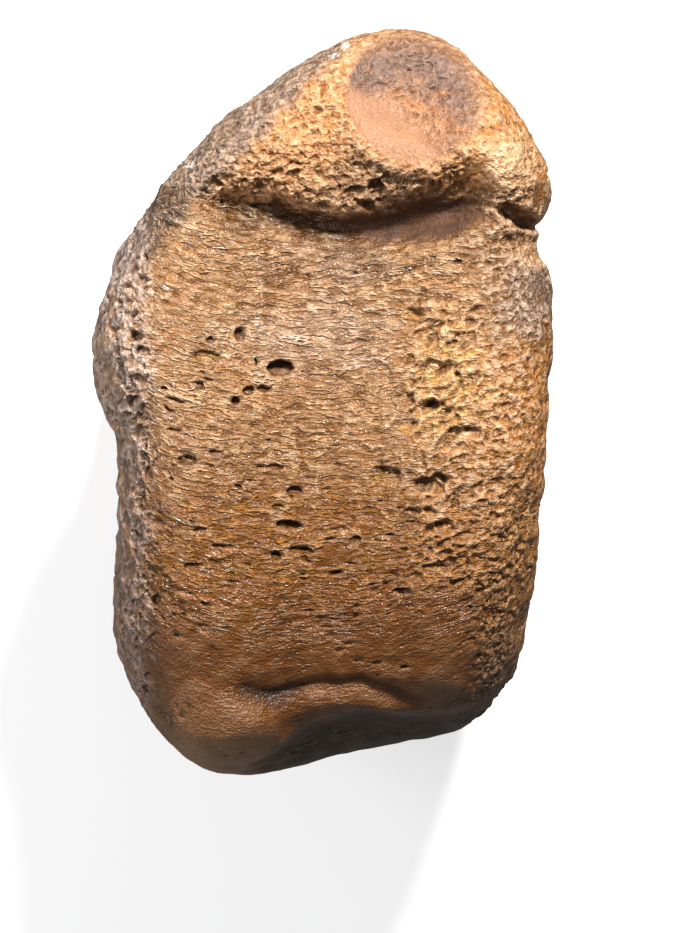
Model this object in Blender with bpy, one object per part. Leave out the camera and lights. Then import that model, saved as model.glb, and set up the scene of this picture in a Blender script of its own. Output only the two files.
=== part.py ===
"""Fossil mammoth vertebra: the body of one thoracic vertebra, lying on its side.

The arch, its spine and the side processes broke off long ago, so two stumps flank an open trough
where the spinal cord ran. The bone is one piece, and so is this model.

X runs from the front end face (-X) to the rear one (+X), Y from the belly side to the back side,
and Z from the side that the bone lies on up to the side that shows. While it is shaped, the bone
is measured from its middle. At the end it is set down, with its origin at the centre of its
bounding box, on the surface it lies on.
"""

import math

import bmesh
import bpy
import numpy as np
from mathutils import Vector, noise

MM = 0.001

# Driving dimensions.
HALF_WIDTH = 59 * MM  # from the middle plane to either side, at the rims
WAIST_DEPTH = 6.5 * MM  # how far each side is drawn in between the two rims
RIM_REACH = 33 * MM  # how far from the middle the waist ends and the rims begin
TROUGH_DEPTH = 21 * MM  # the open channel for the spinal cord, below the two stumps
TROUGH_HALF_WIDTH = 29 * MM
WEAR = 5 * MM  # how much is worn flat on the side that the bone lies on

# The block it starts from, and how many faces it has along each axis.
BLOCK_HALF = (38 * MM, 63 * MM, HALF_WIDTH)
BLOCK_CUTS = (25, 40, 20)

# The outline seen from the side, as (x, y) from the middle, anticlockwise from the rear end.
OUTLINE = [
    (38.0, 0.0),
    (38.0, 12.0),
    (37.5, 22.0),
    (37.5, 30.0),
    (36.5, 38.0),
    (32.5, 44.5),
    (27.5, 51.5),
    (24.0, 57.5),
    (18.0, 62.0),
    (9.0, 62.5),
    (-1.0, 58.0),
    (-12.0, 50.0),
    (-23.0, 41.0),
    (-32.0, 31.5),
    (-37.0, 23.0),
    (-41.5, 12.0),
    (-41.5, -1.5),
    (-37.5, -8.5),
    (-38.5, -20.0),
    (-39.5, -30.0),
    (-39.5, -42.0),
    (-36.5, -52.0),
    (-31.5, -62.0),
    (-23.0, -69.5),
    (-11.0, -70.0),
    (2.0, -67.5),
    (14.0, -65.0),
    (26.0, -61.0),
    (33.0, -52.0),
    (36.0, -40.0),
    (38.0, -25.0),
    (38.5, -12.0),
]
OUTLINE_SOFTENING = math.radians(3)

# How square the bone is in each direction, as the power of a superellipse: 2 is round.
SQUARENESS = [(0, 7), (40, 7), (75, 9), (110, 8), (140, 5.5), (180, 5), (235, 2.8), (270, 2.3), (315, 3)]

# Swellings and hollows as (centre, radii, push), in millimetres, on the side that shows.
# The far side gets them too, mirrored and worn.
SIDE_STROKES = {
    "stump": ((4, 43, 52), (42, 25, 36), (0, 1, 8)),
    "stump_rear": ((30, 38, 46), (15, 16, 30), (1, 0, 5)),
    "rib_socket": ((15, 51, 58), (13, 12, 18), (-0.5, -1, -3)),
    "belly_hollow": ((4, -62, 18), (24, 12, 20), (0, 5, -2)),
}
FAR_SIDE_SHARE = 0.7

# The groove under the stump: its line as (x, y), its radius and depth, in millimetres.
NECK_LINE = [(-16, 31), (-7.5, 29.3), (-1, 27.6), (4.5, 26.9), (11.5, 27.3), (17.5, 28.8), (23.5, 31.3)]
NECK_RADIUS = 5.5
NECK_DEPTH = 6

# The end faces are dished, with a broad raised rim.
FRONT_DISH = ((-38, -10, 0), (16, 44, 44), (3.0, 0, 0))
REAR_DISH = ((38, -8, 0), (16, 46, 46), (-4.0, 0, 0))

# The lip of the rear rim, broken open under the stump.
RIM_BREAK = ((40, 28, 40), (9, 4.5, 14), (-2.5, 0, -2))

# Unevenness of growth and wear.
LUMP_SIZE = 19 * MM
LUMP_HEIGHT = 0.9 * MM
LUMP_STARTS = [Vector((0, 0, 0)), Vector((31, 17, 5)), Vector((7, 43, 29))]  # one for each axis

BONE_BROWN = (0.30, 0.16, 0.075, 1.0)


def clear_scene():
    for obj in list(bpy.data.objects):
        bpy.data.objects.remove(obj, do_unlink=True)


def block_mesh():
    """A block of even quads, with a different number of faces along each axis."""
    bm = bmesh.new()
    bmesh.ops.create_cube(bm, size=2)
    for axis, faces in enumerate(BLOCK_CUTS):
        normal = Vector((axis == 0, axis == 1, axis == 2))
        for step in range(1, faces):
            place = normal * (2 * step / faces - 1)
            everything = bm.verts[:] + bm.edges[:] + bm.faces[:]
            bmesh.ops.bisect_plane(bm, geom=everything, plane_co=place, plane_no=normal)
    bmesh.ops.scale(bm, vec=Vector(BLOCK_HALF), verts=bm.verts)
    return bm


def outline_reach(angle):
    """How far the outline is from the middle, at each of these angles, with its corners softened."""
    corners = np.array(OUTLINE) * MM
    at = np.arctan2(corners[:, 1], corners[:, 0])
    reach = np.hypot(corners[:, 0], corners[:, 1])
    turns = np.linspace(-OUTLINE_SOFTENING, OUTLINE_SOFTENING, 5)
    return np.mean([np.interp(angle + turn, at, reach, period=2 * np.pi) for turn in turns], axis=0)


def squareness(angle):
    at, power = np.array(SQUARENESS).T
    turns = np.radians(np.linspace(-15, 15, 7))
    return np.mean([np.interp(angle + t, np.radians(at), power, period=2 * np.pi) for t in turns], axis=0)


def rounded(points):
    """Each point of the block, moved along its own direction onto the rounded body."""
    across = np.hypot(points[:, 0], points[:, 1])
    angle = np.arctan2(points[:, 1], points[:, 0])
    power = squareness(angle)
    flat_share = across / outline_reach(angle)
    deep_share = np.abs(points[:, 2]) / HALF_WIDTH
    return points / ((flat_share**power + deep_share**power) ** (1 / power))[:, None]


def drawn_in(points):
    """The waist: both sides are drawn in between the rims."""
    share = np.clip(points[:, 0] / RIM_REACH, -1, 1)
    pinch = WAIST_DEPTH * (0.5 + 0.5 * np.cos(np.pi * share))
    side = np.clip(np.abs(points[:, 2]) / HALF_WIDTH, 0, 1) ** 2
    points[:, 2] -= np.sign(points[:, 2]) * pinch * side
    return points


def troughed(points):
    """The channel for the spinal cord, between the two stumps."""
    across = np.clip(1 - (points[:, 2] / TROUGH_HALF_WIDTH) ** 2, 0, 1) ** 2
    height = np.clip((points[:, 1] - 8 * MM) / (50 * MM), 0, 1)
    points[:, 1] -= TROUGH_DEPTH * across * height
    return points


def stroked(points, stroke, share=1.0, side=1):
    """One swelling or hollow: full at its centre, and gone at its radii."""
    centre, radii, push = (np.array(v, float) * MM for v in stroke)
    mirror = np.array([1, 1, side])
    distance = np.linalg.norm((points - centre * mirror) / radii, axis=1)
    weight = np.clip(1 - distance**2, 0, 1) ** 1.5
    return points + weight[:, None] * push * mirror * share


def distance_to_line(places, line):
    """Distance from each place to a line of straight runs, in its plane."""
    nearest = np.full(len(places), np.inf)
    for start, end in zip(line[:-1], line[1:]):
        run = end - start
        along = np.clip((places - start) @ run / (run @ run), 0, 1)
        nearest = np.minimum(nearest, np.linalg.norm(places - start - along[:, None] * run, axis=1))
    return nearest


def necked(points, share, side):
    """The groove that runs under a stump, where ligaments held."""
    line = np.array(NECK_LINE, float) * MM
    away = distance_to_line(points[:, :2], line) / (NECK_RADIUS * MM)
    depth = NECK_DEPTH * MM * share * np.clip(1 - away**2, 0, 1) ** 1.5
    on_side = np.clip(side * points[:, 2] / (35 * MM), 0, 1)
    points[:, 2] -= side * depth * on_side
    return points


def uneven(points):
    """Low, broad lumps, so that no stretch is a perfect surface."""
    places = (points / LUMP_SIZE).tolist()
    shifts = [[noise.noise(Vector(p) + start) for start in LUMP_STARTS] for p in places]
    return points + np.array(shifts) * LUMP_HEIGHT


def set_down(points):
    """Worn flat underneath, and moved so that the box's bottom centre is the origin."""
    points[:, 2] = np.maximum(points[:, 2], WEAR - HALF_WIDTH)
    low, high = points.min(axis=0), points.max(axis=0)
    return points - [(low[0] + high[0]) / 2, (low[1] + high[1]) / 2, low[2]]


def vertebra_points(points):
    points = rounded(points)
    points = drawn_in(points)
    points = troughed(points)
    for side, share in ((1, 1.0), (-1, FAR_SIDE_SHARE)):
        for stroke in SIDE_STROKES.values():
            points = stroked(points, stroke, share, side)
        points = necked(points, share, side)
    for stroke in (FRONT_DISH, REAR_DISH, RIM_BREAK):
        points = stroked(points, stroke)
    return set_down(uneven(points))


def bone_material():
    material = bpy.data.materials.new("fossil_bone")
    material.use_nodes = True
    shader = material.node_tree.nodes["Principled BSDF"]
    shader.inputs["Base Color"].default_value = BONE_BROWN
    shader.inputs["Roughness"].default_value = 0.5
    shader.inputs["Metallic"].default_value = 0.0
    return material


def make_vertebra():
    bm = block_mesh()
    places = vertebra_points(np.array([v.co for v in bm.verts]))
    for vertex, place in zip(bm.verts, places):
        vertex.co = place
    bmesh.ops.recalc_face_normals(bm, faces=bm.faces)
    mesh = bpy.data.meshes.new("vertebra")
    bm.to_mesh(mesh)
    bm.free()
    mesh.shade_smooth()
    mesh.materials.append(bone_material())
    vertebra = bpy.data.objects.new("vertebra", mesh)
    bpy.context.scene.collection.objects.link(vertebra)
    return vertebra


clear_scene()
make_vertebra()
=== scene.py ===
# %% [markdown]
# # A fossil mammoth vertebra
#
# This lesson carves and paints the body of one mammoth back bone. Its arch broke off long ago, so
# it lies on its side like a heavy, worn block, and the eye looks straight down on it.
#
# Two things make a bone look real. The first is its big shape: rims round two end faces, a waist
# between them, and a swollen stump where the arch began. The second is that every region has its
# own texture, because it grew or broke in its own way. The big shape is already in the frame. The
# textures are made here, first in the mesh itself and then in the material.

# %% Loading the frame
import math

import bmesh
import bpy
import numpy as np
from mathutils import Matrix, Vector, noise


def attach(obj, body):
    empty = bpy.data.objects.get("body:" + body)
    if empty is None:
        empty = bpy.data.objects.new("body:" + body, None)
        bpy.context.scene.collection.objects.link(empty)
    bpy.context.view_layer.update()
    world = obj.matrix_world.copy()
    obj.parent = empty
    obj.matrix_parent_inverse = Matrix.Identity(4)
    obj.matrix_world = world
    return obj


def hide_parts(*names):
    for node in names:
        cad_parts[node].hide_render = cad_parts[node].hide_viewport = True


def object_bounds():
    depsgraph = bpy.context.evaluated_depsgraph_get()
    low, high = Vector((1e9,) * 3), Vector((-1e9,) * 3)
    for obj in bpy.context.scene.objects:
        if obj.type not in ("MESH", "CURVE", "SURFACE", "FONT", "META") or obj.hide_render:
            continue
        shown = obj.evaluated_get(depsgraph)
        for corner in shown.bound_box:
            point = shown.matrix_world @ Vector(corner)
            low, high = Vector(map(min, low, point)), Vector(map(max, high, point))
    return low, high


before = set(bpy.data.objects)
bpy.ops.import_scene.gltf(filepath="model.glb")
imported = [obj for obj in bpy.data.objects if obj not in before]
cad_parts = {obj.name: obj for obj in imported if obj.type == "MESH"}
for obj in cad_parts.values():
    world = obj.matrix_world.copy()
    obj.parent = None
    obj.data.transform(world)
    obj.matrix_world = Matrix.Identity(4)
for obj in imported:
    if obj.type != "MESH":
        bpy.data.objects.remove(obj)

MM = 0.001
cad_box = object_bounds()
print("box of the frame, in mm:", [[round(v / MM, 1) for v in corner] for corner in cad_box])

# %% [markdown]
# ## The eye and the plan
#
# The camera comes first, because the marks on the bone are laid out as they are seen from it. A
# camera at half a metre sees the near side of a bone larger than its far side. A mark is therefore
# placed on a plan: a sheet of drawing film held level, just under the top of the bone. Each point
# of the bone has a place on the plan, where the line from the eye to that point crosses the film.

# %% The camera
EYE = np.array([5.0, -9.25, 540.0])  # in millimetres
PLAN_LEVEL = 108.0  # the height of the plan above the floor, in millimetres
PLAN_START = np.array([0.0, 1.5])  # the place on the plan that is its zero
LENS, SENSOR_WIDTH = 100.0, 36.0  # in millimetres


def look_down(eye):
    camera = bpy.data.cameras.new("eye")
    camera.lens = LENS
    camera.sensor_width = SENSOR_WIDTH
    camera.clip_start = 0.01
    holder = bpy.data.objects.new("eye", camera)
    holder.location = eye * MM
    bpy.context.scene.collection.objects.link(holder)
    bpy.context.scene.camera = holder
    return holder


look_down(EYE)
print("the eye is", EYE[2], "mm above the floor")

# %% Places on the plan
MIDDLE_LEVEL = 58.0  # halfway between the side that shows and the side underneath


def plan_places(points):
    """Where each point falls on the plan. The side underneath is folded up first, so that both
    sides carry the same large forms."""
    level = MIDDLE_LEVEL + np.abs(points[:, 2] - MIDDLE_LEVEL)
    nearer = (EYE[2] - PLAN_LEVEL) / (EYE[2] - level)
    return EYE[:2] - PLAN_START + (points[:, :2] - EYE[:2]) * nearer[:, None]


# %% [markdown]
# ## A blank for the carver
#
# The CAD solid has about nine thousand triangles, each some 3 mm wide, and the finest pit in the
# bone is half a millimetre. The blank is a copy of the solid, joined into quads and divided by a
# Subdivision Surface modifier, which also rounds it. The side that shows is divided once more. The
# mesh then has far more faces than a finished piece may keep, so they are thinned at the end,
# where the carving is plain.

# %% Applying a modifier
def apply_modifiers(piece):
    graph = bpy.context.evaluated_depsgraph_get()
    finished = bpy.data.meshes.new_from_object(piece.evaluated_get(graph))
    piece.modifiers.clear()
    piece.data = finished


# %% Copying the solid in quads
WELD = 1e-6  # in metres; the solid comes as loose triangles, whose corners only touch
JOIN_ANGLE = math.radians(60)


def quad_copy(node, name):
    bm = bmesh.new()
    bm.from_mesh(node.data)
    bmesh.ops.remove_doubles(bm, verts=bm.verts, dist=WELD)
    bmesh.ops.join_triangles(
        bm, faces=bm.faces, angle_face_threshold=JOIN_ANGLE, angle_shape_threshold=JOIN_ANGLE
    )
    mesh = bpy.data.meshes.new(name)
    bm.to_mesh(mesh)
    print("blank:", len(bm.faces), "faces, of which", sum(len(f.verts) == 4 for f in bm.faces), "quads")
    bm.free()
    piece = bpy.data.objects.new(name, mesh)
    bpy.context.scene.collection.objects.link(piece)
    return piece


bone = quad_copy(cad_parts["vertebra"], "fossil_vertebra")

# %% Dividing it
ROUNDS = 3
SHOWN_ABOVE = 62 * MM  # the height from which a face can be seen well
FACES_UP = 0.25  # how far up its normal has to point


def divide(piece):
    fine = piece.modifiers.new("fine", "SUBSURF")
    fine.levels = fine.render_levels = ROUNDS
    apply_modifiers(piece)


def divide_shown_side(piece):
    bm = bmesh.new()
    bm.from_mesh(piece.data)
    shown = [f for f in bm.faces if f.normal.z > FACES_UP and f.verts[0].co.z > SHOWN_ABOVE]
    edges = list({edge for face in shown for edge in face.edges})
    bmesh.ops.subdivide_edges(bm, edges=edges, cuts=1, use_grid_fill=True)
    bm.to_mesh(piece.data)
    bm.free()


divide(bone)
divide_shown_side(bone)
print("divided:", len(bone.data.vertices), "points")

# %% Reading and writing all the points at once
def points_of(mesh):
    flat = np.empty(len(mesh.vertices) * 3, np.float32)
    mesh.vertices.foreach_get("co", flat)
    return flat.reshape(-1, 3).astype(float) / MM


def normals_of(mesh):
    flat = np.empty(len(mesh.vertices) * 3, np.float32)
    mesh.vertex_normals.foreach_get("vector", flat)
    return flat.reshape(-1, 3).astype(float)


def move_points(mesh, points):
    mesh.vertices.foreach_set("co", (points * MM).astype(np.float32).ravel())
    mesh.update()


# %% [markdown]
# ## Strokes
#
# All carving is a height for each point: how far it moves out along its normal, in millimetres.
# Heights add up, so each form can be made by itself. Four small helpers make nearly all of them.
# One is a soft step, one measures distance to an oval, one measures distance to a drawn line, and
# one is noise of a stated size.

# %% A soft step
def rise(value, low, high):
    """0 at low and 1 at high, with an even curve between. High may be less than low."""
    share = np.clip((value - low) / (high - low), 0, 1)
    return share * share * (3 - 2 * share)


# %% Distance to an oval
def oval(places, centre, half_length, half_width, turn=0.0):
    """0 at the centre and 1 on the oval's edge. Turn is anticlockwise, in degrees."""
    away = places - np.array(centre)
    c, s = math.cos(math.radians(turn)), math.sin(math.radians(turn))
    along = away[:, 0] * c + away[:, 1] * s
    across = away[:, 1] * c - away[:, 0] * s
    return np.hypot(along / half_length, across / half_width)


# %% Distance to a line
def above_line(places, line):
    """(height above a line drawn from left to right, share of the way along it)."""
    line = np.array(line, float)
    runs = line[1:] - line[:-1]
    lengths = np.linalg.norm(runs, axis=1)
    nearest = np.full(len(places), np.inf)
    height, share = np.zeros(len(places)), np.zeros(len(places))
    for start, run, length, before in zip(line, runs, lengths, np.cumsum(lengths) - lengths):
        away = places - start
        along = np.clip(away @ run / length**2, 0, 1)
        gap = away - along[:, None] * run
        distance = np.hypot(gap[:, 0], gap[:, 1])
        closer = distance < nearest
        side = np.sign(run[0] * away[:, 1] - run[1] * away[:, 0])
        nearest = np.where(closer, distance, nearest)
        height = np.where(closer, side * distance, height)
        share = np.where(closer, (before + along * length) / lengths.sum(), share)
    return height, share


# %% Noise of a stated size
SEED_STEP = 17.3  # how far the noise of one seed is from that of the next, in cells


def lumps(points, size, seed=0):
    """Soft noise between about -1 and 1. Size is one number, or one for each axis, in mm."""
    return np.array([noise.noise(p) for p in (points / size + SEED_STEP * seed).tolist()])


def crumbs(points, size, seed=0):
    """Scattered cells of a size in mm: (how far inside its cell's border a point is, its place from
    the cell's centre, and that centre), all counted in cells."""
    places = points / size + SEED_STEP * seed
    found = [noise.voronoi(p) for p in places.tolist()]
    near = np.array([distances[:2] for distances, _ in found])
    centres = np.array([list(cells[0]) for _, cells in found])
    return near[:, 1] - near[:, 0], places - centres, centres


SCRAMBLE, SPREAD = np.array([12.9898, 78.233, 37.719]), 43758.5453


def chance(centres, seed=0):
    """An even random number from 0 to 1 for each cell, from its centre. It is the far decimals of a
    sine, which look random and are the same each time."""
    mixed = np.sin(centres @ SCRAMBLE + seed) * SPREAD
    return mixed - np.floor(mixed)


# %% Evening out
def pairs_of(mesh):
    pairs = np.empty(len(mesh.edges) * 2, np.int32)
    mesh.edges.foreach_get("vertices", pairs)
    return pairs.reshape(-1, 2)


def smoothed(values, pairs, rounds):
    """Each row moves halfway to the mean of its neighbours' rows, again and again."""
    count = np.bincount(pairs.ravel(), minlength=len(values))
    for _ in range(rounds):
        mean = np.empty_like(values)
        for column in range(values.shape[1]):
            total = np.zeros(len(values))
            for one, other in ((0, 1), (1, 0)):
                given = values[pairs[:, other], column]
                total += np.bincount(pairs[:, one], weights=given, minlength=len(values))
            mean[:, column] = total / count
        values = 0.5 * values + 0.5 * mean
    return values


# %% [markdown]
# ## The large forms
#
# The groove under the stump, the socket of the rib's head, the break in the rear rim and the
# hollow of the belly side are sharper than the blank has them. Each is a line or an oval on the
# plan. A groove under an overhang is a cliff above and an easy slope below, so its height falls at
# once at the line and comes back over several millimetres. Above the line the stump swells into a
# rounded edge, which throws the shadow. The belly side has a soft fold above its hollow, and a
# shelf stands out in front of it, at the front end.

# %% Lines on the plan, in millimetres from the middle of the bone
NECK_LINE = [(-24, 35.5), (-15, 33.2), (-7.3, 32.6), (-0.2, 31), (5.8, 30.3), (11, 30.5), (16.2, 31.6),
             (23.8, 33), (29, 34.5)]
BELLY_LINE = [(-16, -63), (-10.7, -59.8), (-7.5, -57.2), (-4.2, -54.9), (-1, -53.2), (4.2, -51.7),
              (8.7, -51.2), (15.2, -51.7), (22, -51.7), (28, -50), (36, -42)]
FOLD_LINE = [(-17, -47.5), (-8.3, -49), (-0.5, -47.2), (7, -46.8), (14, -49.3), (20, -51)]

# %% The groove and the edge of the stump
def neck_height(points, plan):
    """Height above the ragged lower edge of the stump, and share of the way along it."""
    up, share = above_line(plan, NECK_LINE)
    return up + 1.6 * lumps(points, 5.0, 40) + 0.7 * lumps(points, 1.8, 41), share


def stump_edge(points, plan):
    """The groove under the stump, and the rounded edge that hangs over it."""
    up, share = neck_height(points, plan)
    fade = rise(share, 0.0, 0.22) * rise(share, 1.0, 0.85)
    fade *= 0.75 + 0.6 * lumps(points, 7.0, 67)
    groove = -0.9 * rise(up, 1.5, -0.6) * np.exp(-((np.minimum(up, 0) / 3.5) ** 2))
    edge = (1.7 - 1.1 * rise(share, 0.52, 0.72)) * rise(up, -1.6, 3.0) * rise(up, 8.0, 3.0)
    return (groove + edge) * fade


# %% The socket of the rib's head
SOCKET = (15.3, 50.4), 11.2, 10.2, -30
SOCKET_BRIM = np.array([-0.6, -0.8])  # the direction in which the socket's brim stands highest


def towards_brim(plan):
    """How far each place lies from the socket's centre, towards its brim."""
    return (plan - np.array(SOCKET[0])) @ SOCKET_BRIM


def rib_socket(plan):
    """A dish, with a brim along its lower left."""
    ring, lean = oval(plan, *SOCKET), towards_brim(plan) / 9.0
    dish = -2.4 * rise(ring, 1.12, 0.2) * (0.55 + 0.45 * rise(lean, -1.0, 0.4))
    brim = 0.7 * np.exp(-(((ring - 1.14) / 0.14) ** 2)) * rise(lean, -0.1, 0.8)
    return dish + brim


# %% The break in the rear rim
def rim_break(points, plan):
    """A split under the stump, and the piece of rim below it, which has sunk."""
    split = oval(plan + 0.4 * lumps(points, 1.4, 42)[:, None], (33.6, 30.6), 4.4, 1.7, -24)
    sunken = oval(plan, (36.0, 26.0), 4.5, 3.2, -30)
    return -3.2 * rise(split, 1.15, 0.6) - 1.3 * rise(sunken, 1.1, 0.3)


# %% The belly side
def belly_side(points, plan):
    """The hollow, the soft fold above it and the shelf in front of it."""
    z = points[:, 2]
    below, _ = above_line(plan, BELLY_LINE)
    hollow = -9.0 * rise(below, 0.8, -7) * rise(z, 62, 92)
    up, share = above_line(plan, FOLD_LINE)
    fold = -1.1 * np.exp(-((up / 1.2) ** 2)) + 0.7 * np.exp(-(((up + 2.8) / 1.5) ** 2))
    fold *= rise(share, 0, 0.2) * rise(share, 1, 0.8)
    shelf = 3.6 * rise(oval(plan, (-15, -55), 16, 8.5, -15), 1.0, 0.25) * rise(z, 74, 94)
    return hollow + fold + shelf


# %% Carving the large forms
def large_forms(points):
    """The stump's edge and the socket are on both sides, and the rest only on the one that shows."""
    plan = plan_places(points)
    near = rise(points[:, 2], 50, 64)
    forms = stump_edge(points, plan) + rib_socket(plan)
    return forms + near * (rim_break(points, plan) + belly_side(points, plan))


mesh = bone.data
points = points_of(mesh)
height = large_forms(points) + 0.4 * lumps(points, 6.5, 1) + 0.25 * lumps(points, 3.0, 2)
points = smoothed(points + normals_of(mesh) * height[:, None], pairs_of(mesh), 4)
move_points(mesh, points)
print("large forms: from", round(height.min(), 1), "to", round(height.max(), 1), "mm")

# %% [markdown]
# ## Regions
#
# A texture belongs to a region, and regions shade into each other. Each region is a number from 0
# to 1 at every point. The shaft is the waist between the rims, and it is fibrous. The stump is
# spongy, because the hard outer layer has gone from it. The rear part is flaky, and both rims are
# granular. The end faces and the open channel for the spinal cord are the sides that don't show.

# %% Finding the regions
def regions(points, normals):
    plan = plan_places(points)
    edge = 1.8 * lumps(points, 6.0, 3) + 1.2 * lumps(points, 2.2, 43)
    wander = plan + edge[:, None]
    up, _ = neck_height(points, plan)
    face = rise(np.abs(normals[:, 0]), 0.72, 0.92)
    canal = rise(np.abs(points[:, 2] - MIDDLE_LEVEL), 30, 22) * rise(points[:, 1], 22, 34)
    lean = towards_brim(plan)
    blur = 0.05 + 0.22 * rise(lean, 2.0, -6.0)  # the socket's edge is sharp at its brim only
    socket = rise(oval(plan, *SOCKET), 1 + blur, 1 - 1.3 * blur)
    stump = rise(up, 0.0, 1.4) * (1 - canal) * (1 - socket)
    front = rise(wander[:, 0], -26, -31) * (1 - stump)
    rear = rise(wander[:, 0], 23, 29) * (1 - stump)
    flaky = rise(wander[:, 0], 12, 17) * rise(wander[:, 1], -37, -28) * (1 - rear) * (1 - stump)
    flaky *= rise(wander[:, 1], 22, 14)
    shaft = np.clip(1 - stump - front - rear - 0.8 * flaky - canal - socket, 0, 1)
    return {"face": face, "canal": canal, "socket": socket, "stump": stump, "front": front,
            "rear": rear, "flaky": flaky, "shaft": shaft}


normals = normals_of(mesh)
region = regions(points, normals)
print("regions:", {name: f"{share.mean():.2f}" for name, share in region.items()})

# %% [markdown]
# ## Fibres on the shaft
#
# Bone fibres run from one end face to the other. Noise that is stretched along X gives them. Near
# the front rim they swing downwards, and low down they swing up again to the rear, so the cross
# coordinate is bowed. The finest fibres are thinner than the mesh can hold, so they come later, in
# the material. What is carved here is the bark they lie on: low swells, sharp crests and dents, and
# long ridges below the stump, where ligaments pulled. A crest follows the line along which noise
# is zero, so it wavers, forks and ends as a real one does.

# %% Coordinates that follow the grain
def grain_places(points):
    x, y = points[:, 0], points[:, 1]
    bow = 0.0085 * np.minimum(x + 6, 0) ** 2 + 0.008 * np.maximum(x + 2, 0) ** 2 * rise(y, -14, -38)
    sway = 1.1 * lumps(points, 15.0, 4) + 0.5 * lumps(points, np.array([5.0, 2.5, 2.5]), 44)
    return np.stack([x, y - bow + sway, points[:, 2]], axis=1)


# %% Bark and slits
def bark(grain, points):
    swells = lumps(grain, np.array([4.4, 1.3, 1.3]), 5)
    cord = lumps(grain, np.array([2.8, 0.8, 0.8]), 6)
    crest = -np.abs(lumps(grain, np.array([4.0, 0.95, 0.95]), 7))
    dent = rise(lumps(points, np.array([2.6, 1.5, 1.5]), 65), 0.3, 0.6)
    strong = (0.35 + 0.65 * rise(lumps(points, 8.0, 47), -0.3, 0.4)) * rise(points[:, 1], -50, -28)
    thin_crest = 1 - np.minimum(1, 5 * np.abs(lumps(grain, np.array([5.0, 1.1, 1.1]), 72)))
    thin_crest *= rise(lumps(grain, np.array([6.0, 3.0, 3.0]), 73), 0.0, 0.4)
    below_stump = rise(points[:, 1], 11, 18) * rise(points[:, 1], 31, 27)
    long_ridges = 0.6 * lumps(grain, np.array([13.0, 1.15, 1.15]), 70) * below_stump
    carved = 0.24 * swells + 0.26 * cord + 0.5 * crest - 0.35 * dent + 0.34 * thin_crest
    return strong * carved + long_ridges


def slits(grain):
    """Scattered narrow openings, where the hard layer has split between two fibres. There are more
    of them on the lower half."""
    place = lumps(grain, np.array([2.8, 0.75, 0.75]), 8)
    lower = rise(grain[:, 1], 2, -12) * rise(grain[:, 1], -42, -34)
    crowded = rise(lumps(grain, 9.0, 9) + 0.35 * lower, 0.05, 0.5)
    return -0.75 * rise(place, 0.42, 0.60) * crowded


grain = grain_places(points)
height = region["shaft"] * (bark(grain, points) + slits(grain))
print("bark: from", round(height.min(), 2), "to", round(height.max(), 2), "mm")

# %% [markdown]
# ## Pits
#
# Inside, a vertebra is a sponge of thin walls, and where its hard layer has worn or flaked away,
# shallow pits lie side by side. Cell noise has what this needs: where the nearest and the second
# nearest centre are equally far, there is a rim, and elsewhere there is a pit. Each cell gets its
# own depth. A pit is deepest under its upper edge, where the wall hasn't crumbled. Three places on
# the stump are plainer than the rest: round the socket, by the rear rim, and underneath, where the
# stump is smooth and is painted dark as its own shadow.

# %% Pits side by side
def warped(points, size, amount, seed):
    """The points pushed about by noise, so that the cells lose their straight edges."""
    along, across = lumps(points, size, seed), lumps(points, size, seed + 0.5)
    return points + amount * np.stack([along, across, across], axis=1)


def pits(points, size, depth, seed, crowded=1.0):
    """Crowded is 1 where every cell is a pit, and less where few are."""
    size = np.array(size, float)
    bent = warped(warped(points, 0.8 * size[0], 0.5 * size[1], seed), 1.1, 0.3, seed + 0.2)
    border, inside, centres = crumbs(bent, size, seed)
    own = rise(chance(centres, seed), 1.0 - crowded, 1.6 - crowded)
    ramp = 0.35 + 0.65 * rise(inside[:, 1], -0.45, 0.3)
    return -depth * own * rise(border, 0.02, 0.2) * ramp


FAINTEST = 0.02  # the least share of a region that is still worth carving


def on_region(weight, make, points):
    """Works a costly texture out only where its region is, and leaves 0 elsewhere."""
    result = np.zeros(len(points))
    there = weight > FAINTEST
    result[there] = weight[there] * make(points[there])
    return result


# %% The stump
def smooth_underside(points, plan):
    """1 where the stump's underside is smooth and painted dark as shadow, towards the rear end of the
    groove.
    """
    return rise(oval(plan, (15.5, 30.8), 12.5, 4.6, 5) + 0.25 * lumps(points, 3.0, 71), 1.15, 0.65)


def stump_texture(points):
    """Spongy above its lower edge, and a fine open grain further up."""
    plan = plan_places(points)
    up, _ = neck_height(points, plan)
    low = rise(up + 2.0 * lumps(points, 5.0, 11), 15, 5) * rise(plan[:, 0], 31, 21)
    plain = np.maximum(rise(oval(plan, (20, 52), 14, 13), 1.15, 0.8), smooth_underside(points, plan))
    plain = np.maximum(plain, rise(oval(plan, (32, 40), 8, 8), 1.15, 0.7))
    sponge = pits(points, (2.0, 1.4, 1.6), 0.8, 13, 0.75)
    sponge += pits(points, (1.3, 0.95, 1.05), 0.45, 12, 0.85)
    grain = pits(points, (1.3, 1.0, 1.05), 0.45, 48, 0.8) + 0.25 * lumps(points, 1.4, 49)
    swells = 0.35 * lumps(points, np.array([3.0, 1.9, 2.2]), 10)
    return (1 - 0.65 * plain) * (low * sponge + (1 - 0.6 * low) * grain) + swells


height += on_region(region["stump"], stump_texture, points)
print("with the stump: down to", round(height.min(), 2), "mm")

# %% Rims
def front_texture(points):
    """The front rim has weathered into short ledges."""
    low = 1.4 + 0.4 * rise(points[:, 1], 10, -15)
    ledges = low * pits(points, (4.0, 2.2, 2.8), 1.0, 17, 0.9)
    ledges += pits(points, (1.8, 1.2, 1.4), 0.5, 52, 0.8)
    return ledges + 0.3 * lumps(points, np.array([2.6, 1.2, 1.4]), 15)


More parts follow.
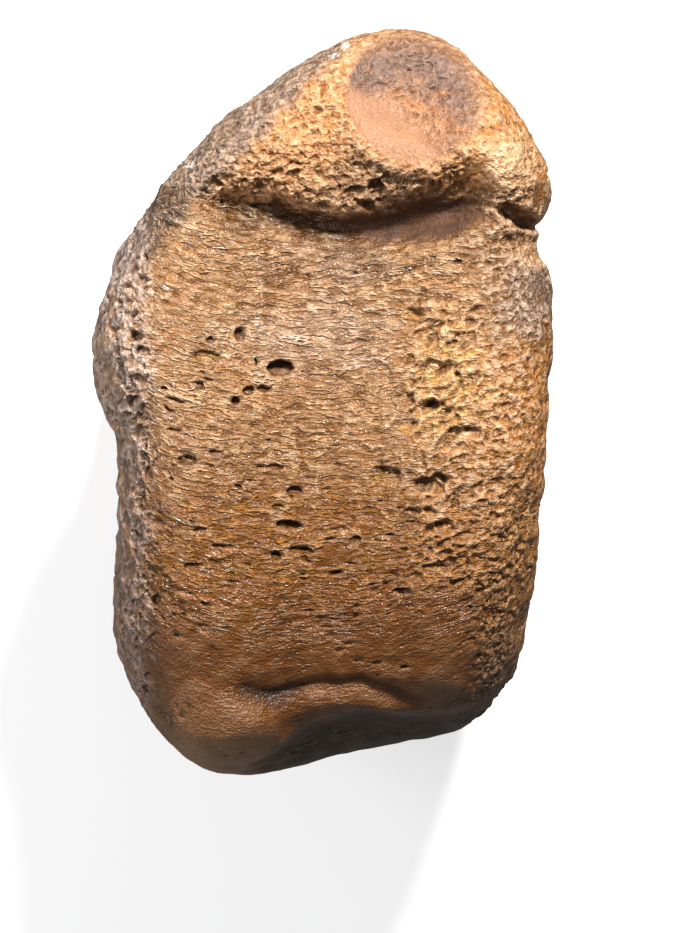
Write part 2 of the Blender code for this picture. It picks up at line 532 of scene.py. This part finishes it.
def rear_texture(points):
    """The rear rim is grainy, with low ridges and few pits."""
    few = 0.35 + 0.4 * rise(points[:, 1], 10, -40)
    ridges = 0.34 * lumps(points, np.array([2.8, 1.3, 1.5]), 54) + 0.2 * lumps(points, 1.1, 55)
    ridges += pits(points, (2.3, 1.4, 1.6), 0.75, 58, few)
    return ridges + pits(points, (1.3, 0.9, 1.0), 0.4, 56, 0.7)


height += on_region(region["front"] * (1 - region["face"]), front_texture, points)
height += on_region(region["rear"] * (1 - region["face"]), rear_texture, points)

# %% [markdown]
# ## Flakes
#
# Towards the rear the outer layer has come off in flakes, and left broad, shallow scallops with
# thin rims. They are wide pits once more, with smaller ones inside. Between them the surface is
# tilted about each cell's centre, so that one edge stands proud and shades the next.

# %% Tilted cells and scallops
def shingles(points, size, seed):
    size = np.array(size, float)
    bent = warped(points, 0.8 * size[0], 0.5 * size[1], seed)
    _, inside, centres = crumbs(bent, size, seed)
    return (-0.8 * inside[:, 1] + 0.3 * inside[:, 0]) * chance(centres, 5) ** 1.3


def flakes(points):
    leaning = points.copy()
    leaning[:, 1] -= 0.25 * points[:, 0]
    broad = pits(leaning, (6.6, 3.4, 4.0), 0.95, 19, 0.85)
    small = pits(leaning, (3.2, 1.8, 2.2), 0.65, 59, 0.8)
    return broad + small + 0.55 * shingles(leaning, (3.4, 2.0, 2.4), 61) + 0.15 * lumps(points, 1.4, 20)


height += on_region(region["flaky"], flakes, points)

# %% [markdown]
# ## Openings for blood vessels
#
# Small vessels went in through openings on the shaft and under the stump. A Boolean modifier would
# cut them with clean round edges, but theirs are as frayed as the bone round them, so they are
# carved like the rest. They are placed one by one: centre and half sizes on the plan, a turn, and a
# depth, all in millimetres and degrees. Like the pits, each is deepest under its upper edge and has
# a ramp up to its lower one. Its walls lean, so it is cut wider than the size that it is listed
# with, which is that of its floor.

# %% The openings
OPENINGS = [
    # (centre, half length, half width, turn, depth)
    ((-13.2, 11.3), 0.75, 0.75, 0, 1.8),
    ((-6.5, 5.6), 1.6, 0.85, 0, 2.4),
    ((-10.5, 6.9), 0.3, 0.45, 0, 1.6),
    ((-14.0, 0.0), 0.5, 0.45, 0, 1.6),
    ((-11.8, 1.9), 0.8, 0.45, 20, 1.3),
    ((-9.2, 2.2), 0.9, 0.4, 0, 1.2),
    ((-18.7, 7.6), 1.8, 0.7, -10, 1.1),
    ((-18.2, 10.3), 0.6, 0.35, 10, 1.0),
    ((-26.0, 2.2), 0.45, 0.25, 0, 0.9),
    ((-24.2, -4.7), 1.0, 0.22, -5, 0.9),
    ((-17.2, -8.5), 0.9, 0.4, -15, 0.9),
    ((-22.2, -9.8), 1.3, 0.5, -8, 1.0),
    ((-4.2, -15.0), 1.0, 0.6, 0, 1.2),
    ((-7.5, -10.9), 1.1, 0.35, 0, 0.8),
    ((-5.0, -20.5), 1.6, 0.45, -6, 2.2),
    ((-7.0, -17.5), 0.8, 0.3, 0, 0.8),
    ((-7.3, -25.8), 0.7, 0.5, 10, 1.5),
    ((-3.0, -24.8), 1.6, 0.4, -8, 1.0),
    ((-16.2, -24.0), 1.4, 0.25, -3, 0.9),
    ((-20.0, -21.3), 0.8, 0.25, 0, 0.8),
    ((-21.2, -27.3), 1.2, 0.3, 5, 0.9),
    ((10.7, -12.3), 2.0, 1.1, 0, 1.1),
    ((14.2, -3.8), 1.6, 0.9, 0, 1.0),
    ((15.3, 15.0), 1.3, 0.5, 0, 0.5),
    ((18.3, -0.5), 0.8, 0.5, -20, 1.2),
    ((15.0, -18.5), 1.4, 0.6, 15, 1.1),
    ((18.3, -18.3), 1.1, 0.5, -20, 1.1),
    ((17.2, -13.8), 1.2, 0.8, 10, 1.1),
    ((19.7, -13.0), 1.0, 0.8, -10, 1.1),
    ((19.8, -20.7), 0.6, 0.4, 0, 1.2),
    ((5.8, -23.0), 0.8, 0.4, 20, 1.0),
    ((13.7, -31.7), 1.2, 0.35, -5, 1.1),
    ((22.8, 4.3), 0.5, 0.4, 0, 1.0),
    ((2.2, -28.7), 0.9, 0.25, 15, 0.8),
    ((9.3, 35.3), 1.1, 1.0, 0, 2.4),
    ((19.5, 35.7), 0.8, 0.7, 0, 1.6),
    ((8.3, 32.3), 0.7, 0.6, 0, 1.4),
    ((5.8, 35.0), 1.4, 0.6, 15, 1.4),
]


def on_shown_side(points):
    """1 on the side that shows, which has the openings, and 0 on the one underneath."""
    return rise(points[:, 2], 58, 70)


def opening_edge(plan, centre, half_length, half_width, turn):
    """0 at an opening's centre and 1 on the outer edge of its leaning walls."""
    return oval(plan, centre, 1.35 * half_length, 1.6 * half_width, turn)


def openings(points):
    plan = plan_places(points) + 0.22 * lumps(points, 0.9, 21)[:, None]
    cut = np.zeros(len(points))
    for centre, half_length, half_width, turn, depth in OPENINGS:
        edge = opening_edge(plan, centre, half_length, half_width, turn)
        ramp = 0.5 + 0.55 * rise(plan[:, 1] - centre[1], -1.1 * half_width, 0.8 * half_width)
        cut = np.minimum(cut, -0.95 * depth * ramp * rise(edge, 1.15, 0.8))
    return cut * on_shown_side(points)


height += openings(points)
print("openings:", len(OPENINGS))

# %% [markdown]
# ## End faces, channel and socket
#
# The end faces carried the discs between the bones. They are rough with low radial ridges and a
# few pits. The open channel for the spinal cord is smooth, with two vessel openings near its
# middle. These sides don't show, but a bone can be turned over. The socket has a crust of dried
# soil in its upper part: small grains that run together, made from noise with its tops cut off.

# %% Filling in the rest
FACE_MIDDLE = (-8.0, MIDDLE_LEVEL)  # y and z of the middle of both end faces
CHANNEL_OPENINGS = [(-6.0, 51.0), (7.0, 64.0)]  # x and z


def face_texture(points):
    y, z = (points[:, 1:] - FACE_MIDDLE).T
    turn, out = np.arctan2(z, y), np.hypot(z, y)
    rings = 0.2 * np.sin(out / 1.9 + 2.0 * lumps(points, 9.0, 22))
    spokes = 0.22 * np.sin(34 * turn + 3.0 * lumps(points, 8.0, 23)) * rise(out, 8, 26)
    return rings + spokes + pits(points, (2.4, 2.0, 2.0), 0.8, 24, 0.5) + 0.15 * lumps(points, 1.0, 25)


def channel_texture(points):
    cut = 0.12 * lumps(points, np.array([6.0, 1.5, 1.5]), 26)
    for place in CHANNEL_OPENINGS:
        cut -= 2.5 * rise(oval(points[:, [0, 2]], place, 2.2, 1.3, 10), 1.2, 0.6)
    return cut


def grains_of_soil(points):
    """1 on the rounded grains that stick in the socket, and 0 between them."""
    return rise(lumps(points, 0.85, 63) + 0.5 * lumps(points, 2.2, 64), 0.0, 0.35)


def crust(points):
    plan = plan_places(points)
    crusted = rise(towards_brim(plan), 5.0, 0.5)
    return crusted * (0.38 * grains_of_soil(points) + 0.15 * lumps(points, 2.6, 27))


height += on_region(region["face"], face_texture, points)
height += on_region(region["canal"], channel_texture, points)
height += on_region(region["socket"], crust, points)

# %% Carving
def keep_in_box(points, box):
    low, high = (np.array(corner) / MM for corner in box)
    return np.clip(points, low, high)


points = keep_in_box(points + normals * height[:, None], cad_box)
move_points(mesh, points)
print("carved: from", round(height.min(), 2), "to", round(height.max(), 2), "mm")

# %% [markdown]
# ## Thinning the mesh
#
# A Decimate modifier removes faces where the surface is closest to flat, so the pits keep theirs.

# %% Thinning
MOST_TRIANGLES = 196_000


def thin(piece):
    before = sum(len(face.vertices) - 2 for face in piece.data.polygons)
    fewer = piece.modifiers.new("fewer", "DECIMATE")
    fewer.ratio = MOST_TRIANGLES / before
    fewer.use_collapse_triangulate = True
    apply_modifiers(piece)
    piece.data.shade_smooth()
    print("thinned from", before, "to", len(piece.data.polygons), "triangles")


thin(bone)
mesh = bone.data
move_points(mesh, keep_in_box(points_of(mesh), cad_box))
points, normals = points_of(mesh), normals_of(mesh)
shown = (normals[:, 2] > FACES_UP) & (points[:, 2] * MM > SHOWN_ABOVE)
print("share of the points on the side that shows:", round(shown.mean(), 2))
region = regions(points, normals)

# %% [markdown]
# ## How deep each point lies
#
# Hollows are painted darker, partly as dirt and partly as painted shade, and what stands out is
# painted paler, as painted highlights. To know which is which, the surface is smoothed by moving each
# point to the middle of its neighbours, many times over. How far a point lies under the smoothed
# surface is its depth.

# %% Depth under the smoothed surface
FINE_ROUNDS, BROAD_ROUNDS, LEVELLING_ROUNDS = 4, 40, 120


def depth_below(points, normals, pairs, rounds):
    return ((smoothed(points, pairs, rounds) - points) * normals).sum(axis=1)


pairs = pairs_of(mesh)
fine_depth = depth_below(points, normals, pairs, FINE_ROUNDS)
broad_depth = depth_below(points, normals, pairs, BROAD_ROUNDS)
broad_depth -= smoothed(broad_depth[:, None], pairs, LEVELLING_ROUNDS)[:, 0]
print("depth: up to", round(broad_depth.max(), 2), "mm under and", round(-broad_depth.min(), 2), "over")

# %% [markdown]
# ## Painting
#
# The bone has lain in the ground, so its colour depends on the place: the stump has gone orange and
# the front rim grey. Noise in the material can't know this, so the colour is painted on the points in
# layers, as a preparator would tint a cast. Light and shade are painted on as well: the upper shaft
# paler and its lower part darker, a sheen and a cool reflection on the shaft, and painted shadow in
# the groove, under the stump and in the belly hollow. A layer is a colour and a weight from 0 to 1.
# The shaft comes first, and then the stump, the rims, and the painted shade and light, mostly as oval
# patches with frayed edges. What follows the texture comes last: hollows painted darker, partly as
# dirt and partly as painted shade, painted highlights on what stands out, and umber on the lit lower
# floor of each opening, partly its brown and partly painted shade.

# %% Paints, as linear red, green and blue
PAINT = {
    "ground": (0.32, 0.113, 0.010),
    "light": (0.60, 0.325, 0.150),
    "tan": (0.46, 0.170, 0.036),
    "umber": (0.165, 0.060, 0.008),
    "orange": (0.52, 0.175, 0.024),
    "ochre": (0.62, 0.32, 0.070),
    "pink": (0.63, 0.335, 0.20),
    "grey": (0.200, 0.135, 0.105),
    "violet": (0.225, 0.158, 0.135),
    "slate": (0.155, 0.098, 0.078),
    "dark": (0.050, 0.026, 0.015),
    "pit": (0.026, 0.012, 0.007),
    "pale": (0.76, 0.53, 0.33),
    "white": (0.85, 0.80, 0.72),
    "painted_shadow": (0.070, 0.023, 0.004),
    "painted_sheen": (0.80, 0.60, 0.47),
    "rim_highlight": (0.56, 0.44, 0.39),
}


def layer(colour, paint, weight):
    weight = np.clip(weight, 0, 1)[:, None]
    return colour * (1 - weight) + np.array(PAINT[paint]) * weight


# %% Patches and their frayed edges
def patch(plan, place, ragged, inner, outer=1.1):
    """1 inside an oval place, out to the share inner, and 0 past outer. Ragged noise frays it."""
    return rise(oval(plan, *place) + ragged, outer, inner)


def speckles(points):
    """Noise of three sizes: blotches, spots and dots."""
    return lumps(points, 9.0, 30), lumps(points, 2.4, 31), lumps(points, 0.9, 33)


# %% Painting the shaft and the stump
def paint_shaft(points, plan, region, speckle):
    blotch, spot, dot = speckle
    y = plan[:, 1]
    streak = lumps(grain_places(points), np.array([10.0, 1.3, 1.3]), 32)
    colour = np.tile(PAINT["ground"], (len(points), 1))
    # painted light: the upper shaft is painted paler, as the light falls from above
    lit = rise(y, -22, 0) * (0.8 + 0.3 * blotch) * (1 - region["rear"]) * (1 - 0.6 * region["flaky"])
    colour = layer(colour, "light", lit)
    # painted sheen: a paler patch on the middle of the shaft, where the light is reflected
    colour = layer(colour, "painted_sheen", patch(plan, ((-2, 11), 17, 9), 0.5 * streak, 0.3) * 0.45)
    calm = 1 - 0.5 * rise(y, -22, -38)  # the lower part is plainer
    colour = layer(colour, "umber", rise(streak, 0.1, 0.8) * 0.45 * calm)
    # painted reflection: a grey patch below the groove stands for a cool sheen
    colour = layer(colour, "grey", patch(plan, ((2, 23), 15, 5), 0.4 * streak, 0.3, 1.2) * 0.55)
    colour = layer(colour, "orange", rise(blotch + 0.6 * spot, 0.1, 0.7) * 0.35 * calm)
    # painted shade: the shaft is painted darker towards the bottom, which turns away from the light
    colour = layer(colour, "umber", rise(y, -22, -50) * 0.35)
    ochre = patch(plan, ((21.5, 4), 8, 14), 0.5 * spot + 0.3 * dot, 0.4, 1.0)
    return layer(colour, "ochre", ochre * 0.6)


def paint_stump(colour, points, plan, region, speckle):
    _, spot, _ = speckle
    x, stump = plan[:, 0], region["stump"]
    colour = layer(colour, "tan", stump * (0.6 + 0.4 * spot + 0.3 * rise(x, 0, 30)))
    shade = patch(plan, ((9, 36.5), 14, 6), 0.4 * spot, 0.3) * rise(x, 22, 16)
    colour = layer(colour, "umber", stump * shade * 0.7)
    rear_corner = patch(plan, ((32, 39), 6, 7), 0.3 * spot, 0.4)
    colour = layer(colour, "light", stump * rear_corner * 0.8)
    mottled = rise(lumps(points, 4.5, 35) + 0.5 * spot, -0.1, 0.5) * rise(x, 22, 8)
    colour = layer(colour, "umber", stump * mottled * 0.35)
    glow = patch(plan, ((-3, 47), 14, 9, 35), 0.4 * spot, 0.5, 1.0)
    colour = layer(colour, "orange", stump * glow * 0.5)
    colour = layer(colour, "orange", patch(plan, ((-3.5, 52), 4.5, 3, 30), 0.4 * spot, 0.4, 1.0) * 0.6)
    behind_socket = patch(plan, ((29, 50), 5, 9), 0.3 * spot, 0.4)
    return layer(colour, "ground", stump * behind_socket * 0.45)


# %% Painting the rims, and the painted shade and light
CHAMFER = np.array([-0.729, 0.685])  # the direction in which the front upper edge faces
FLECKS = [(2.5, 57.8), (4.3, 59.4), (-21.6, 39.5)]  # specks of white mineral


def paint_rims(colour, plan, region, speckle):
    _, spot, dot = speckle
    x, y, front, rear = plan[:, 0], plan[:, 1], region["front"], region["rear"]
    colour = layer(colour, "violet", front * (0.5 + 0.6 * spot) * (1 - 0.3 * region["face"]))
    colour = layer(colour, "dark", front * rise(spot + 0.5 * dot, 0.0, 0.5) * rise(x, -28, -33) * 0.65)
    # painted shade: the front end face, which turns away from the light, is painted dark
    shaded_front_face = region["face"] * rise(x, 0, -20)
    colour = layer(colour, "dark", shaded_front_face * rise(spot + 0.4 * dot, -0.6, 0.3) * 0.6)
    chamfer = rise(plan @ CHAMFER + 1.2 * spot, 36.0, 39.5) * rise(y, 0, 10)
    colour = layer(colour, "grey", chamfer * (0.85 + 0.4 * dot))
    colour = layer(colour, "dark", chamfer * rise(spot + 0.4 * dot, -0.2, 0.4) * 0.7)
    colour = layer(colour, "orange", rear * rise(y, -20, -5) * rise(y, 16, 4) * (0.35 + 0.5 * spot))
    colour = layer(colour, "umber", rear * (0.1 + 0.5 * spot + 0.75 * rise(y, 5, 14)))
    # painted shade: the rear rim is painted darker towards the bottom
    colour = layer(colour, "dark", rear * rise(y, -14, -48) * 0.45)
    # painted shade: a dark patch at the lower rear, where the belly hollow turns away from the light
    return layer(colour, "dark", patch(plan, ((27, -52), 16, 10, 25), 0.3 * spot, 0.4) * 0.45)


def paint_shade_light_and_patches(colour, points, plan, speckle):
    _, spot, dot = speckle
    up, share = neck_height(points, plan)
    # painted shadow: the groove under the stump's overhang and the smooth underside are painted dark
    # brown
    groove = rise(up, 1.4, -0.2) * rise(up, -6.5, -2.0) * rise(share, 0.05, 0.25) * rise(share, 1, 0.85)
    colour = layer(colour, "painted_shadow", groove * 0.9)
    underside = smooth_underside(points, plan)
    colour = layer(colour, "umber", underside * 0.7)
    colour = layer(colour, "painted_shadow", underside * rise(up, -7.5, -3) * 0.85)
    worn_rim = patch(plan, ((35, 18), 5.5, 8), 0.5 * spot + 0.3 * dot, 0.5)
    colour = layer(colour, "umber", worn_rim * 0.6)
    colour = layer(colour, "slate", worn_rim * 0.7)
    colour = layer(colour, "light", patch(plan, ((36.3, 25), 5, 3.5), 0.3 * spot, 0.5) * 0.6)
    on_top = rise(points[:, 2], 81, 87)
    for fleck in FLECKS:
        speck = patch(plan, (fleck, 0.75, 0.45, 30), 0.5 * dot, 0.7, 1.0)
        colour = layer(colour, "white", on_top * speck)
    # painted light: the shelf in front of the belly hollow is painted paler, as if lit
    shelf = patch(plan, ((-15, -60), 12, 5.5, -12), 0.3 * spot, 0.6)
    return layer(colour, "light", shelf * 0.7)


# %% Painting the shade of the belly side, and the socket
def belly_shade(plan, spot):
    """1 in the dark hollow of the belly side, and 0 on the lip in front of it."""
    below, _ = above_line(plan, BELLY_LINE)
    lip = rise(plan[:, 0], -9, -13)
    return rise(below + 0.5 * spot, 0.8, -1.6) * (1 - lip)


def paint_socket(colour, points, plan, region, speckle):
    """Smooth and pink at its lower left, and crusted with dried soil towards the upper right."""
    _, spot, dot = speckle
    lean = towards_brim(plan)
    colour = layer(colour, "pink", region["socket"] * 0.9)
    crusted = region["socket"] * rise(lean + 2.0 * spot, 4.5, 0.5)
    upper = np.maximum(rise(lean + 2.5 * spot, 0.5, -5.0), rise(oval(plan, (8.5, 55.5), 6, 5), 1.1, 0.5))
    colour = layer(colour, "umber", crusted * 0.6)
    # slate in the socket's upper part: partly its grey colour and partly painted shade on the dish's
    # upper wall
    colour = layer(colour, "slate", region["socket"] * upper * 0.85)
    soil = grains_of_soil(points) * (0.4 + 0.6 * rise(spot + 0.5 * dot, -0.2, 0.3))
    return layer(colour, "orange", crusted * soil * (0.85 - 0.5 * upper))


# %% Painting the whole bone
def paint_bone(points, region):
    plan, speckle = plan_places(points), speckles(points)
    colour = paint_shaft(points, plan, region, speckle)
    colour = paint_stump(colour, points, plan, region, speckle)
    colour = paint_rims(colour, plan, region, speckle)
    colour = paint_shade_light_and_patches(colour, points, plan, speckle)
    # painted shade: the belly hollow is painted near-black
    colour = layer(colour, "pit", belly_shade(plan, speckle[1]) * 0.88)
    return paint_socket(colour, points, plan, region, speckle)


# %% Painting by depth
OCHRE_DENTS = [(10.7, -12.9), (14.2, -4.4), (-18.7, 7.3), (15.3, 14.8)]  # openings with ochre floors


def paint_relief(colour, points, region, fine_depth, broad_depth):
    """Hollows are painted darker, partly as dirt and partly as painted shade, and crests paler, as
    painted highlights. The socket gets little of this, because it is broad and clean.
    """
    open_bone = 1 - region["socket"]
    # hollows painted darker: partly dirt and partly painted shade
    colour = layer(colour, "umber", rise(fine_depth, 0.01, 0.08) * 0.5 * (1 - 0.6 * region["socket"]))
    colour = layer(colour, "umber", rise(broad_depth, 0.15, 0.45) * 0.7 * open_bone)
    deepest = rise(broad_depth, 0.4, 1.1) * (0.85 - 0.4 * region["stump"])
    colour = layer(colour, "dark", deepest * open_bone)
    # painted highlights on the crests, stronger towards the top, where the light falls
    upper = 0.4 + 0.6 * rise(points[:, 1], -36, -4)
    upper *= 1 - smooth_underside(points, plan_places(points))
    upper *= open_bone * (1 - 0.3 * region["stump"]) * (1 - 0.5 * region["face"])
    colour = layer(colour, "pale", rise(-fine_depth, 0.02, 0.10) * 0.4 * upper)
    # painted highlights on the crests of the front rim
    rim = region["front"] * (1 - 0.7 * region["face"])
    return layer(colour, "rim_highlight", rise(-fine_depth, 0.0, 0.08) * 0.35 * rim)


def paint_ramps(colour, points):
    """The lower half of each opening catches the light, and is painted umber, partly as the brown
    inside and partly as painted shade of the recess.
    """
    plan = plan_places(points)
    lit = np.zeros(len(points))
    for centre, half_length, half_width, turn, _ in OPENINGS:
        edge = opening_edge(plan, centre, half_length, half_width, turn)
        low = rise(plan[:, 1] - centre[1], 0.2 * half_width, -1.2 * half_width)
        lit = np.maximum(lit, rise(edge, 1.1, 0.8) * low)
    # umber on the lit lower floor: partly the brown inside, partly painted shade
    colour = layer(colour, "umber", lit * on_shown_side(points) * 0.35)
    for centre in OCHRE_DENTS:
        colour = layer(colour, "ochre", rise(oval(plan, centre, 2.4, 1.3), 1.1, 0.4) * 0.45)
    return colour


def store(mesh, name, values):
    """Keeps one colour for each point, for the material to read."""
    kept = mesh.color_attributes.new(name, "FLOAT_COLOR", "POINT")
    full = np.concatenate([values, np.ones((len(values), 1))], axis=1)
    kept.data.foreach_set("color", full.astype(np.float32).ravel())


colour = paint_relief(paint_bone(points, region), points, region, fine_depth, broad_depth)
store(mesh, "bone_paint", paint_ramps(colour, points))
print("painted", len(points), "points")

# %% [markdown]
# ## Finish
#
# Three more numbers go with each point: how glossy the bone is, how much its fibres show, and how
# granular it is. Hands have polished the shaft, and the stump's underside and the belly hollow are
# dull. The shaft's lower part is smoother than the rest, so its fibres fade there.

# %% Gloss, fibres and grains
def finish_of(points, region):
    plan = plan_places(points)
    underside = smooth_underside(points, plan)
    fibres = region["shaft"] + 0.5 * region["flaky"] * rise(lumps(points, 3.0, 34), -0.2, 0.4)
    fibres *= 1 - 0.8 * rise(points[:, 1], -26, -42)
    fibres *= 1 - underside
    rough = np.clip(region["stump"] + region["front"] + region["rear"] + 0.7 * region["flaky"], 0, 1)
    gloss = 1 - 0.6 * rough - 0.75 * region["socket"]
    gloss *= 1 - 0.8 * belly_shade(plan, 0)
    gloss -= 1.4 * underside
    gloss *= 1 - 0.5 * rise(points[:, 1], -28, -44)
    crusted = region["socket"] * rise(towards_brim(plan), 5.0, 1.0)
    grains = np.maximum(rough, 0.8 * crusted)
    return np.stack([gloss, fibres, grains], axis=1)


finish = finish_of(points, region)
store(mesh, "bone_finish", finish)
store(mesh, "bone_grain", grain_places(points) * MM)
print("mean gloss, fibres and grains:", finish.mean(axis=0).round(2))

# %% [markdown]
# ## The material
#
# The painted colour, the finish and the grain coordinates come in as attributes. The nodes add what
# is finer than the mesh. The fibres are ridges half a millimetre apart, which show where noise in
# grain coordinates crosses its middle value. Their gaps are brown, and their tops are tinted pale as
# a painted highlight. Where the hard layer is gone, round grains take their place. The same relief
# makes the bump and the tint, so that the painted highlights and the lit tops are one.

# %% Node helpers
def node(tree, kind, **settings):
    made = tree.nodes.new(kind)
    for name, value in settings.items():
        setattr(made, name, value)
    return made


def fine_noise(tree, place, scale, detail, stretch=(1, 1, 1)):
    mapping = node(tree, "ShaderNodeMapping")
    mapping.inputs["Scale"].default_value = stretch
    made = node(tree, "ShaderNodeTexNoise")
    made.inputs["Scale"].default_value = scale
    made.inputs["Detail"].default_value = detail
    tree.links.new(place, mapping.inputs["Vector"])
    tree.links.new(mapping.outputs["Vector"], made.inputs["Vector"])
    return made.outputs["Fac"]


def between(tree, value, low, high, to_low=0.0, to_high=1.0):
    """A Map Range node: low becomes to_low and high becomes to_high, and nothing goes past them."""
    made = node(tree, "ShaderNodeMapRange", clamp=True)
    for name, number in (("From Min", low), ("From Max", high), ("To Min", to_low), ("To Max", to_high)):
        made.inputs[name].default_value = number
    tree.links.new(value, made.inputs["Value"])
    return made.outputs["Result"]


def combined(tree, operation, one, other):
    """The result of a Math node. Each of its two inputs is a number or another node's output."""
    made = node(tree, "ShaderNodeMath", operation=operation)
    for socket, value in zip(made.inputs, (one, other)):
        if isinstance(value, (int, float)):
            socket.default_value = value
        else:
            tree.links.new(value, socket)
    return made.outputs[0]


# %% Ridges from noise
def ridges(tree, value, width):
    """1 where the noise crosses its middle value, and 0 this far from it."""
    away = combined(tree, "ABSOLUTE", combined(tree, "SUBTRACT", value, 0.5), 0)
    return between(tree, away, 0, width, 1, 0)


# %% Values of the bone's surface
FIBRES, PATCHES, GRAINS, DUST = 850, 260, 950, 2400  # how many cells of noise are in a metre
FIBRE_STRETCH, PATCH_STRETCH = (0.22, 1, 1), (0.5, 1, 1)  # less than 1 makes them long
FIBRE_WIDTH = 0.08  # as a share of the noise's height
FIBRE_HEIGHT, DUST_HEIGHT = 0.65, 0.3  # compared with a grain's
BUMP_HEIGHT = 1.1 * MM
# the gaps' tint, and the tops' tint, which is a painted highlight
GAP_TINT, HIGHLIGHT_TINT = (0.76, 0.67, 0.55), (2.15, 2.46, 2.95)
DULL, GLOSSY = 0.92, 0.22  # the roughness where the gloss is -1, and where it is 1
SPECULAR = 0.8


# %% Fossil bone
def surface_relief(tree, fibres_show, grainy):
    """(height, dust) of fibres, grains and dust together."""
    place = node(tree, "ShaderNodeTexCoord").outputs["Object"]
    along = node(tree, "ShaderNodeAttribute", attribute_name="bone_grain").outputs["Vector"]
    fibres = ridges(tree, fine_noise(tree, along, FIBRES, 3, FIBRE_STRETCH), FIBRE_WIDTH)
    patchy = between(tree, fine_noise(tree, along, PATCHES, 3, PATCH_STRETCH), 0.42, 0.6, 0.4, 1.0)
    fibres = combined(tree, "MULTIPLY", combined(tree, "MULTIPLY", fibres, fibres_show), patchy)
    strength = between(tree, grainy, 0, 1, 0.3, 1)
    grains = combined(tree, "MULTIPLY", fine_noise(tree, place, GRAINS, 3), strength)
    dust = fine_noise(tree, place, DUST, 2)
    relief = combined(tree, "ADD", combined(tree, "MULTIPLY", fibres, FIBRE_HEIGHT), grains)
    return combined(tree, "ADD", relief, combined(tree, "MULTIPLY", dust, DUST_HEIGHT)), dust


def tinted(tree, paint, relief):
    tint = node(tree, "ShaderNodeCombineColor")
    # the tops are tinted pale as a painted highlight
    for socket, low, high in zip(tint.inputs, GAP_TINT, HIGHLIGHT_TINT):
        tree.links.new(between(tree, relief, 0.40, 1.0, low, high), socket)
    mixed = node(tree, "ShaderNodeMix", data_type="RGBA", blend_type="MULTIPLY")
    mixed.inputs["Factor"].default_value = 1.0
    tree.links.new(paint, mixed.inputs["A"])
    tree.links.new(tint.outputs["Color"], mixed.inputs["B"])
    return mixed.outputs["Result"]


def fossil_bone():
    material = bpy.data.materials.new("fossil_bone_surface")
    material.use_nodes = True
    tree = material.node_tree
    shader = tree.nodes["Principled BSDF"]
    paint = node(tree, "ShaderNodeAttribute", attribute_name="bone_paint").outputs["Color"]
    finish = node(tree, "ShaderNodeAttribute", attribute_name="bone_finish").outputs["Color"]
    parts = node(tree, "ShaderNodeSeparateColor")
    tree.links.new(finish, parts.inputs["Color"])
    gloss, fibres_show, grainy = (parts.outputs[name] for name in ("Red", "Green", "Blue"))
    relief, dust = surface_relief(tree, fibres_show, grainy)
    tree.links.new(tinted(tree, paint, relief), shader.inputs["Base Color"])
    roughness = between(tree, gloss, -1, 1, DULL, GLOSSY)
    roughness = combined(tree, "ADD", roughness, between(tree, dust, 0.3, 0.7, -0.07, 0.08))
    tree.links.new(roughness, shader.inputs["Roughness"])
    bump = node(tree, "ShaderNodeBump")
    bump.inputs["Strength"].default_value = 1.0
    bump.inputs["Distance"].default_value = BUMP_HEIGHT
    tree.links.new(relief, bump.inputs["Height"])
    tree.links.new(bump.outputs["Normal"], shader.inputs["Normal"])
    shader.inputs["Specular IOR Level"].default_value = SPECULAR
    print("nodes in the material:", len(tree.nodes))
    return material


mesh.materials.clear()
mesh.materials.append(fossil_bone())
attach(bone, "root")
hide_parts("vertebra")

# %% [markdown]
# ## Floor and light
#
# A pale level floor that glows a little, a main light high up on the side of the missing arch, a
# weak one from the front end, and a faint even sky. The floor is kept out of the bone's own
# reflections, so that its edges stay as dark as they are.

# %% Floor
FLOOR_REACH = 3.0  # to each side, in metres
FLOOR_PAINT = (0.9, 0.9, 0.9, 1)
FLOOR_GLOW = 0.6


def pale_floor():
    bm = bmesh.new()
    bmesh.ops.create_grid(bm, x_segments=1, y_segments=1, size=FLOOR_REACH)
    mesh = bpy.data.meshes.new("floor")
    bm.to_mesh(mesh)
    bm.free()
    material = bpy.data.materials.new("floor")
    material.use_nodes = True
    shader = material.node_tree.nodes["Principled BSDF"]
    shader.inputs["Base Color"].default_value = FLOOR_PAINT
    shader.inputs["Roughness"].default_value = 0.9
    shader.inputs["Emission Color"].default_value = (1, 1, 1, 1)
    shader.inputs["Emission Strength"].default_value = FLOOR_GLOW
    mesh.materials.append(material)
    floor = bpy.data.objects.new("floor", mesh)
    floor.visible_glossy = False
    floor.visible_diffuse = False
    bpy.context.scene.collection.objects.link(floor)


pale_floor()

# %% Lights
SKY = 0.16


def soft_light(name, place, aim, size, power, colour):
    """A round lamp. Its place, its aim and its size are in metres, and its power is in watts."""
    lamp = bpy.data.lights.new(name, "AREA")
    lamp.shape = "DISK"
    lamp.size = size
    lamp.energy = power
    lamp.color = colour
    holder = bpy.data.objects.new(name, lamp)
    holder.location = place
    holder.rotation_euler = (Vector(aim) - Vector(place)).to_track_quat("-Z", "Y").to_euler()
    bpy.context.scene.collection.objects.link(holder)


soft_light("key", (0.12, 0.30, 0.48), (0, 0.01, 0.09), 0.09, 4.3, (1.0, 0.97, 0.93))
soft_light("fill", (-0.45, 0.05, 0.28), (0, 0, 0.08), 0.30, 1.1, (0.95, 0.97, 1.0))

world = bpy.data.worlds.new("studio")
world.use_nodes = True
sky = world.node_tree.nodes["Background"]
sky.inputs["Color"].default_value = (1, 1, 1, 1)
sky.inputs["Strength"].default_value = SKY
bpy.context.scene.world = world
bpy.context.scene.view_settings.view_transform = "Standard"
